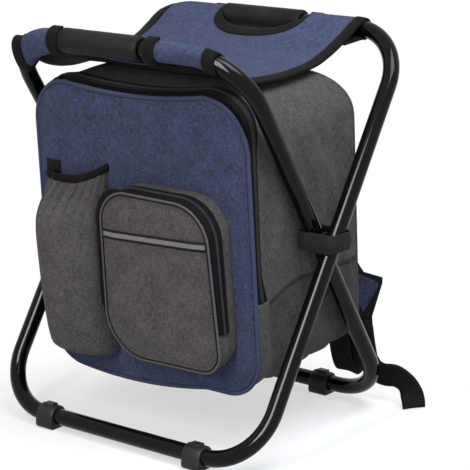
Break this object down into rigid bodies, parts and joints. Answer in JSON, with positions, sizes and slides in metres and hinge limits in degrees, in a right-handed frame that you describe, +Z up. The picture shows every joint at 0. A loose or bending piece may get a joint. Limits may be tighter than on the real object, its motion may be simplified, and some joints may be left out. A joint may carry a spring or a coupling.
{
  "type": "folding cooler stool",
  "caption": "Folding stool of crossed bent-tube loops with a cloth sling seat and an insulated backpack bag hung between the legs, with a zipped door, zip pocket and bottle pocket.",
  "frame": {"origin": "on the floor, at the middle of the stool's footprint", "axes": "+Z up, -Y to the front where the door and pockets are, +X to the right of someone looking at the front"},
  "size_m": [0.3594, 0.285, 0.4185],
  "materials": {
    "black_tube": "gloss black powder coat on steel tube",
    "zinc_steel": "zinc plated steel",
    "black_plastic": "moulded black plastic",
    "grip_foam": "closed-cell foam sleeve",
    "blue_cloth": "heathered blue polyester weave",
    "grey_cloth": "heathered warm grey polyester weave",
    "black_webbing": "woven black tape, webbing and binding",
    "white_foam": "white expanded foam sheet",
    "foil": "silver foil-faced liner",
    "pale_tape": "pale grey reflective tape with dark edges",
    "zip_metal": "gunmetal zip slider and pull"
  },
  "bodies": {
    "bag": {"seat_sling": "blue_cloth", "bag_gusset": "grey_cloth", "bag_boot": "grey_cloth", "bag_back_panel": "grey_cloth", "insulation_top": "white_foam", "insulation_base": "white_foam", "insulation_left": "white_foam", "insulation_right": "white_foam", "insulation_back": "white_foam", "foil_liner": "foil", "main_zip_tape_bag": "black_webbing", "flap_gusset_left": "grey_cloth", "flap_gusset_right": "grey_cloth", "pivot_band_left": "black_webbing", "pivot_band_right": "black_webbing", "shoulder_strap_left": "blue_cloth", "shoulder_strap_right": "blue_cloth", "strap_buckle_left": "black_plastic", "strap_buckle_right": "black_plastic", "strap_webbing_left": "black_webbing", "strap_webbing_right": "black_webbing", "strap_tail_left": "black_webbing", "strap_tail_right": "black_webbing"},
    "outer_frame": {"outer_frame_tube": "black_tube", "outer_tube_splice": "zinc_steel", "pivot_rivet_left": "zinc_steel", "pivot_rivet_right": "zinc_steel", "pivot_washer_left": "black_plastic", "pivot_washer_right": "black_plastic", "front_foot_left": "black_plastic", "front_foot_right": "black_plastic", "rear_grip": "grip_foam", "rear_hem_left": "blue_cloth", "rear_hem_right": "blue_cloth"},
    "inner_frame": {"inner_frame_tube": "black_tube", "inner_tube_splice": "zinc_steel", "rear_foot_left": "black_plastic", "rear_foot_right": "black_plastic", "front_grip": "grip_foam", "front_hem_left": "blue_cloth", "front_hem_right": "blue_cloth"},
    "front_flap": {"front_panel": "blue_cloth", "insulation_front": "white_foam", "front_liner": "foil", "front_piping": "blue_cloth", "main_zip_tape_flap": "black_webbing", "zip_pocket_wall": "grey_cloth", "pocket_zip_tape": "black_webbing", "bottle_pocket": "grey_cloth", "bottle_pocket_elastic": "black_webbing", "bottle_pocket_tab": "black_webbing"},
    "pocket_flap": {"pocket_front": "grey_cloth", "pocket_piping": "grey_cloth", "pocket_stripe": "pale_tape"},
    "main_zip_slider": {"main_zip_slider": "zip_metal"},
    "main_zip_pull": {"main_zip_pull": "zip_metal"},
    "pocket_zip_slider": {"pocket_zip_slider": "zip_metal"},
    "pocket_zip_pull": {"pocket_zip_pull": "zip_metal"}
  },
  "joints": [
    {"name": "bag_swing", "type": "hinge", "parent": "bag", "child": "outer_frame", "pos_m": [0, 0, 0.21335], "axis": [-1, 0, 0], "range_deg": [-29, 0]},
    {"name": "fold", "type": "hinge", "parent": "outer_frame", "child": "inner_frame", "pos_m": [0, 0, 0.21335], "axis": [-1, 0, 0], "range_deg": [0, 58]},
    {"name": "door_hinge", "type": "hinge", "parent": "bag", "child": "front_flap", "pos_m": [0, -0.07419, 0.06732], "axis": [1, 0, 0], "range_deg": [0, 35]},
    {"name": "pocket_hinge", "type": "hinge", "parent": "front_flap", "child": "pocket_flap", "pos_m": [0.043, -0.11071, 0.08923], "axis": [1, 0, 0], "range_deg": [0, 60]},
    {"name": "main_zip_slide", "type": "slide", "parent": "bag", "child": "main_zip_slider", "axis": [0, -0.0698, 0.9976], "range_m": [0, 0.12]},
    {"name": "main_zip_pull_hinge", "type": "hinge", "parent": "main_zip_slider", "child": "main_zip_pull", "pos_m": [-0.1396, -0.07369, 0.16038], "axis": [0, 0.9976, 0.0698], "range_deg": [0, 150]},
    {"name": "pocket_zip_slide", "type": "slide", "parent": "front_flap", "child": "pocket_zip_slider", "axis": [0, -0.0698, 0.9976], "range_m": [0, 0.08]},
    {"name": "pocket_zip_pull_hinge", "type": "hinge", "parent": "pocket_zip_slider", "child": "pocket_zip_pull", "pos_m": [-0.0319, -0.10595, 0.13016], "axis": [0, 0.9976, 0.0698], "range_deg": [0, 12]}
  ],
  "couplings": [
    {"joint": "bag_swing", "follows": "fold", "ratio": -0.5}
  ]
}
